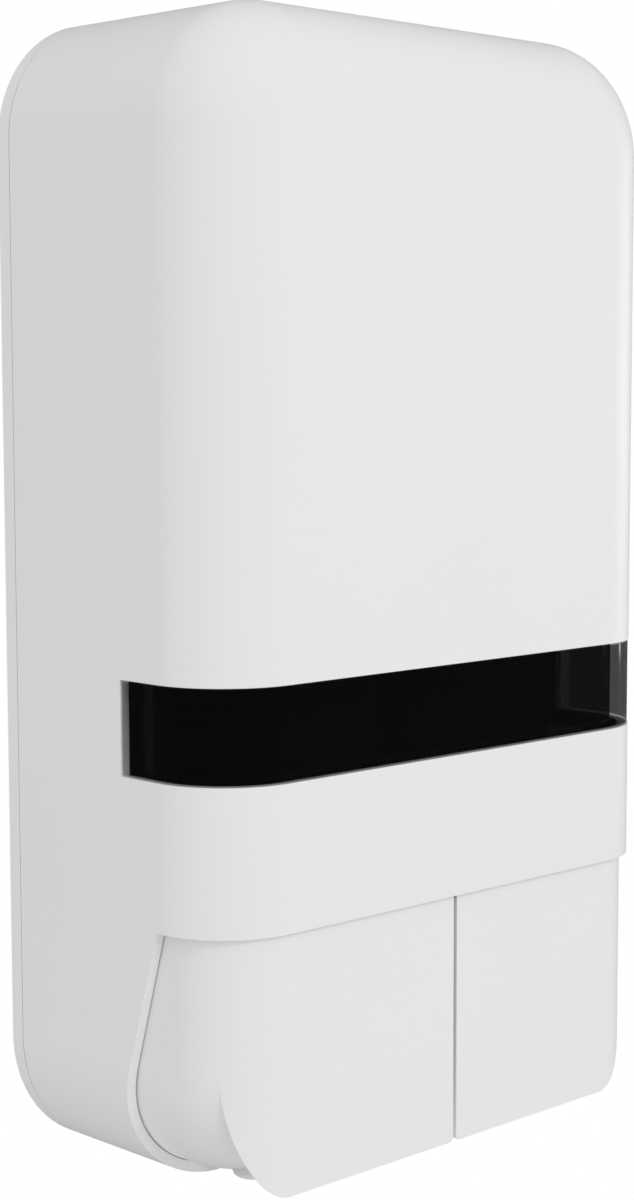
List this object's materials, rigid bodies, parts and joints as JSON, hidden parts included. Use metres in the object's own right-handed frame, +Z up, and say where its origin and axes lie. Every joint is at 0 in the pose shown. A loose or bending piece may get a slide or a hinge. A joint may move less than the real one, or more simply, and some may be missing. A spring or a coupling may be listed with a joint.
{
  "type": "wall mounted soap dispenser",
  "caption": "White wall mounted soap dispenser with a rounded hinged cover, a smoked window band, and side by side push levers over downward nozzles.",
  "frame": {"origin": "centre of the back plate's flat face that lies on the wall", "axes": "+Y into the wall, +Z up, +X to the right seen from the front; the front faces -Y"},
  "size_m": [0.165, 0.082, 0.2956],
  "materials": {
    "white_abs": "satin moulded white ABS with a fine texture",
    "smoked_window": "glossy smoked translucent plastic",
    "chassis_black": "black moulded plastic",
    "cartridge_black": "semi gloss black blow moulded plastic",
    "nozzle_grey": "smooth grey moulded plastic",
    "acetal_natural": "smooth natural acetal",
    "seal_rubber": "matte black nitrile rubber",
    "valve_silicone": "milky silicone",
    "zinc_steel": "zinc plated steel"
  },
  "bodies": {
    "housing": {"back_plate": "white_abs", "chassis": "chassis_black", "chassis_screw_1": "zinc_steel", "chassis_screw_2": "zinc_steel", "chassis_screw_3": "zinc_steel", "chassis_screw_4": "zinc_steel", "lever_shaft": "zinc_steel", "shaft_clip_left": "seal_rubber", "shaft_clip_right": "seal_rubber", "hinge_pin_left": "zinc_steel", "hinge_pin_right": "zinc_steel", "latch_keeper": "chassis_black", "left_pump_body": "acetal_natural", "left_pump_screw_1": "zinc_steel", "left_pump_screw_2": "zinc_steel", "left_piston_spring": "zinc_steel", "left_inlet_valve": "valve_silicone", "left_nozzle": "nozzle_grey", "left_outlet_valve": "valve_silicone", "left_cartridge": "cartridge_black", "left_neck_seal": "seal_rubber", "right_pump_body": "acetal_natural", "right_pump_screw_1": "zinc_steel", "right_pump_screw_2": "zinc_steel", "right_piston_spring": "zinc_steel", "right_inlet_valve": "valve_silicone", "right_nozzle": "nozzle_grey", "right_outlet_valve": "valve_silicone", "right_cartridge": "cartridge_black", "right_neck_seal": "seal_rubber"},
    "cover": {"cover": "white_abs", "window": "smoked_window", "latch_spring": "zinc_steel", "cover_catch": "acetal_natural"},
    "latch": {"latch_button": "nozzle_grey"},
    "left_lever": {"left_lever": "white_abs", "left_push_pad": "acetal_natural"},
    "left_piston": {"left_piston": "acetal_natural", "left_piston_seal": "seal_rubber"},
    "right_lever": {"right_lever": "white_abs", "right_push_pad": "acetal_natural"},
    "right_piston": {"right_piston": "acetal_natural", "right_piston_seal": "seal_rubber"}
  },
  "joints": [
    {"name": "cover_hinge", "type": "hinge", "parent": "housing", "child": "cover", "pos_m": [0, -0.02, -0.1435], "axis": [1, 0, 0], "range_deg": [0, 85], "deforming": ["cover_catch"]},
    {"name": "latch_press", "type": "slide", "parent": "cover", "child": "latch", "axis": [0, 0, -1], "range_m": [0, 0.003], "stiffness_N_per_m": 400, "springref_m": -0.002, "deforming": ["latch_spring"]},
    {"name": "left_lever_press", "type": "hinge", "parent": "housing", "child": "left_lever", "pos_m": [0, -0.06, -0.067], "axis": [1, 0, 0], "range_deg": [0, 14], "stiffness_Nm_per_rad": 0.6, "springref_deg": -14.32},
    {"name": "left_piston_stroke", "type": "slide", "parent": "housing", "child": "left_piston", "axis": [0, 1, 0], "range_m": [0, 0.009], "deforming": ["left_piston_spring"]},
    {"name": "right_lever_press", "type": "hinge", "parent": "housing", "child": "right_lever", "pos_m": [0, -0.06, -0.067], "axis": [1, 0, 0], "range_deg": [0, 14], "stiffness_Nm_per_rad": 0.6, "springref_deg": -14.32},
    {"name": "right_piston_stroke", "type": "slide", "parent": "housing", "child": "right_piston", "axis": [0, 1, 0], "range_m": [0, 0.009], "deforming": ["right_piston_spring"]}
  ],
  "couplings": [
    {"joint": "left_piston_stroke", "follows": "left_lever_press", "m_per_rad": 0.0355},
    {"joint": "right_piston_stroke", "follows": "right_lever_press", "m_per_rad": 0.0355}
  ]
}
